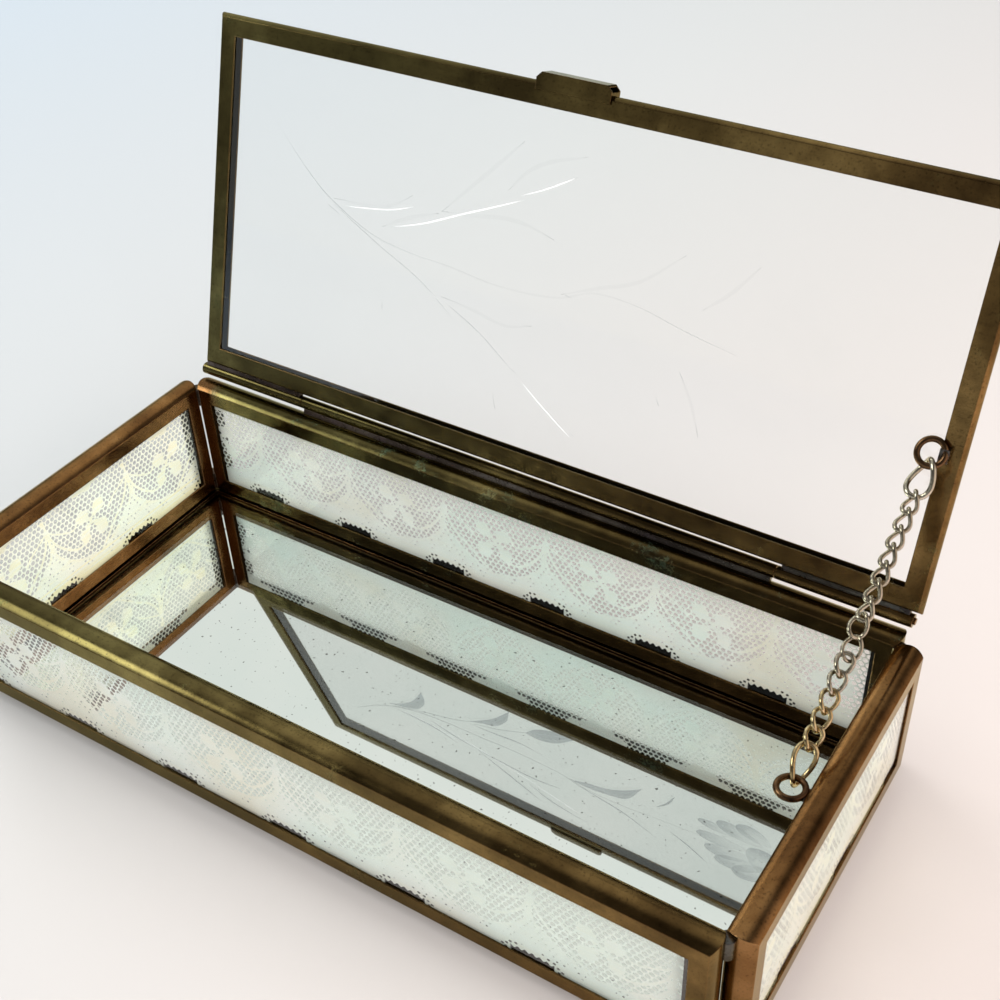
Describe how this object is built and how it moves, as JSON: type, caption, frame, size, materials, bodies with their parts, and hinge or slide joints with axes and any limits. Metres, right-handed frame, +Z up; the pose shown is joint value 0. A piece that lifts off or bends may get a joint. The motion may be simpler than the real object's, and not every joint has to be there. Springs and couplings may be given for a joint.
{
  "type": "glass casket box",
  "caption": "Low glass keepsake casket: panels framed in folded brass strip, lace between the wall panes, mirror floor, clear hinged lid on a stay chain.",
  "frame": {"origin": "middle of the underside of the floor panel's rim, which is the face it rests on", "axes": "+X along the box's length, +Y to the hinge side at the back, +Z up; drawn with the lid open"},
  "size_m": [0.202, 0.1205, 0.1273],
  "materials": {
    "antique_brass": "aged",
    "copper_brass": "aged",
    "solder": "dull",
    "chain_metal": "polished",
    "glass": "polished",
    "mirror": "polished",
    "lace": "net"
  },
  "bodies": {
    "box": {"front_frame": "antique_brass", "back_frame": "antique_brass", "left_frame": "copper_brass", "right_frame": "copper_brass", "floor_frame": "antique_brass", "front_glass_outer": "glass", "front_lace": "lace", "front_glass_inner": "glass", "back_glass_outer": "glass", "back_lace": "lace", "back_glass_inner": "glass", "left_glass_outer": "glass", "left_lace": "lace", "left_glass_inner": "glass", "right_glass_outer": "glass", "right_lace": "lace", "right_glass_inner": "glass", "floor_mirror": "mirror", "hinge_tube_middle": "antique_brass", "hinge_pin": "copper_brass", "hinge_solder_box": "solder", "corner_solder": "solder", "base_eye": "copper_brass", "base_eye_solder": "solder"},
    "lid": {"lid_frame": "antique_brass", "lid_glass": "glass", "hinge_tube_left": "antique_brass", "hinge_tube_right": "antique_brass", "hinge_solder_lid": "solder", "lift_tab": "antique_brass", "lid_eye": "copper_brass", "lid_eye_solder": "solder"},
    "oval_link_upper": {"oval_link_upper": "chain_metal"},
    "chain_link_1": {"chain_link_1": "chain_metal"},
    "chain_link_2": {"chain_link_2": "chain_metal"},
    "chain_link_3": {"chain_link_3": "chain_metal"},
    "chain_link_4": {"chain_link_4": "chain_metal"},
    "chain_link_5": {"chain_link_5": "chain_metal"},
    "chain_link_6": {"chain_link_6": "chain_metal"},
    "chain_link_7": {"chain_link_7": "chain_metal"},
    "chain_link_8": {"chain_link_8": "chain_metal"},
    "oval_link_lower": {"oval_link_lower": "chain_metal"},
    "chain_link_14": {"chain_link_14": "chain_metal"},
    "chain_link_13": {"chain_link_13": "chain_metal"},
    "chain_link_12": {"chain_link_12": "chain_metal"},
    "chain_link_11": {"chain_link_11": "chain_metal"},
    "chain_link_10": {"chain_link_10": "chain_metal"},
    "chain_link_9": {"chain_link_9": "chain_metal"}
  },
  "joints": [
    {"name": "lid_hinge", "type": "hinge", "parent": "box", "child": "lid", "pos_m": [0, 0.04555, 0.0396], "axis": [1, 0, 0], "range_deg": [0, 107.4]},
    {"name": "oval_link_upper_swing", "type": "hinge", "parent": "lid", "child": "oval_link_upper", "pos_m": [0.0915, 0.05158, 0.07377], "axis": [1, 0, 0], "range_deg": [-122.9, 0]},
    {"name": "chain_link_1_swing", "type": "hinge", "parent": "oval_link_upper", "child": "chain_link_1", "pos_m": [0.0915, 0.04709, 0.07063], "axis": [1, 0, 0], "range_deg": [0, 43.5]},
    {"name": "chain_link_2_swing", "type": "hinge", "parent": "chain_link_1", "child": "chain_link_2", "pos_m": [0.0915, 0.04303, 0.06778], "axis": [1, 0, 0], "range_deg": [0, 37]},
    {"name": "chain_link_3_swing", "type": "hinge", "parent": "chain_link_2", "child": "chain_link_3", "pos_m": [0.0915, 0.04085, 0.06626], "axis": [1, 0, 0], "range_deg": [0, 24.5]},
    {"name": "chain_link_4_swing", "type": "hinge", "parent": "chain_link_3", "child": "chain_link_4", "pos_m": [0.0915, 0.03679, 0.06342], "axis": [1, 0, 0], "range_deg": [0, 60.5]},
    {"name": "chain_link_5_swing", "type": "hinge", "parent": "chain_link_4", "child": "chain_link_5", "pos_m": [0.0915, 0.03461, 0.06189], "axis": [1, 0, 0], "range_deg": [0, 42.5]},
    {"name": "chain_link_6_swing", "type": "hinge", "parent": "chain_link_5", "child": "chain_link_6", "pos_m": [0.0915, 0.03054, 0.05905], "axis": [1, 0, 0], "range_deg": [-61, 0]},
    {"name": "chain_link_7_swing", "type": "hinge", "parent": "chain_link_6", "child": "chain_link_7", "pos_m": [0.0915, 0.02837, 0.05752], "axis": [1, 0, 0], "range_deg": [-61.5, 0]},
    {"name": "chain_link_8_swing", "type": "hinge", "parent": "chain_link_7", "child": "chain_link_8", "pos_m": [0.0915, 0.0243, 0.05468], "axis": [1, 0, 0], "range_deg": [-60.5, 0]},
    {"name": "oval_link_lower_swing", "type": "hinge", "parent": "box", "child": "oval_link_lower", "pos_m": [0.0915, -0.00225, 0.0361], "axis": [1, 0, 0], "range_deg": [-134, 0]},
    {"name": "chain_link_14_swing", "type": "hinge", "parent": "oval_link_lower", "child": "chain_link_14", "pos_m": [0.0915, 0.00224, 0.03924], "axis": [1, 0, 0], "range_deg": [0, 34.5]},
    {"name": "chain_link_13_swing", "type": "hinge", "parent": "chain_link_14", "child": "chain_link_13", "pos_m": [0.0915, 0.0063, 0.04208], "axis": [1, 0, 0], "range_deg": [0, 5]},
    {"name": "chain_link_12_swing", "type": "hinge", "parent": "chain_link_13", "child": "chain_link_12", "pos_m": [0.0915, 0.00848, 0.04361], "axis": [1, 0, 0], "range_deg": [0, 5]},
    {"name": "chain_link_11_swing", "type": "hinge", "parent": "chain_link_12", "child": "chain_link_11", "pos_m": [0.0915, 0.01254, 0.04645], "axis": [1, 0, 0], "range_deg": [0, 20]},
    {"name": "chain_link_10_swing", "type": "hinge", "parent": "chain_link_11", "child": "chain_link_10", "pos_m": [0.0915, 0.01472, 0.04798], "axis": [1, 0, 0], "range_deg": [0, 32.5]},
    {"name": "chain_link_9_swing", "type": "hinge", "parent": "chain_link_10", "child": "chain_link_9", "pos_m": [0.0915, 0.01879, 0.05082], "axis": [1, 0, 0], "range_deg": [0, 15.5]}
  ],
  "couplings": [
    {"joint": "oval_link_upper_swing", "follows": "lid_hinge", "ratio": -1.1397},
    {"joint": "chain_link_1_swing", "follows": "lid_hinge", "ratio": 0.40037},
    {"joint": "chain_link_2_swing", "follows": "lid_hinge", "ratio": 0.33985},
    {"joint": "chain_link_3_swing", "follows": "lid_hinge", "ratio": 0.22346},
    {"joint": "chain_link_4_swing", "follows": "lid_hinge", "ratio": 0.55866},
    {"joint": "chain_link_5_swing", "follows": "lid_hinge", "ratio": 0.39106},
    {"joint": "chain_link_6_swing", "follows": "lid_hinge", "ratio": -0.56331},
    {"joint": "chain_link_7_swing", "follows": "lid_hinge", "ratio": -0.56797},
    {"joint": "chain_link_8_swing", "follows": "lid_hinge", "ratio": -0.55866},
    {"joint": "oval_link_lower_swing", "follows": "lid_hinge", "ratio": -1.243},
    {"joint": "chain_link_14_swing", "follows": "lid_hinge", "ratio": 0.31657},
    {"joint": "chain_link_13_swing", "follows": "lid_hinge", "ratio": 0.0419},
    {"joint": "chain_link_12_swing", "follows": "lid_hinge", "ratio": 0.0419},
    {"joint": "chain_link_11_swing", "follows": "lid_hinge", "ratio": 0.18156},
    {"joint": "chain_link_10_swing", "follows": "lid_hinge", "ratio": 0.29795},
    {"joint": "chain_link_9_swing", "follows": "lid_hinge", "ratio": 0.13966}
  ]
}
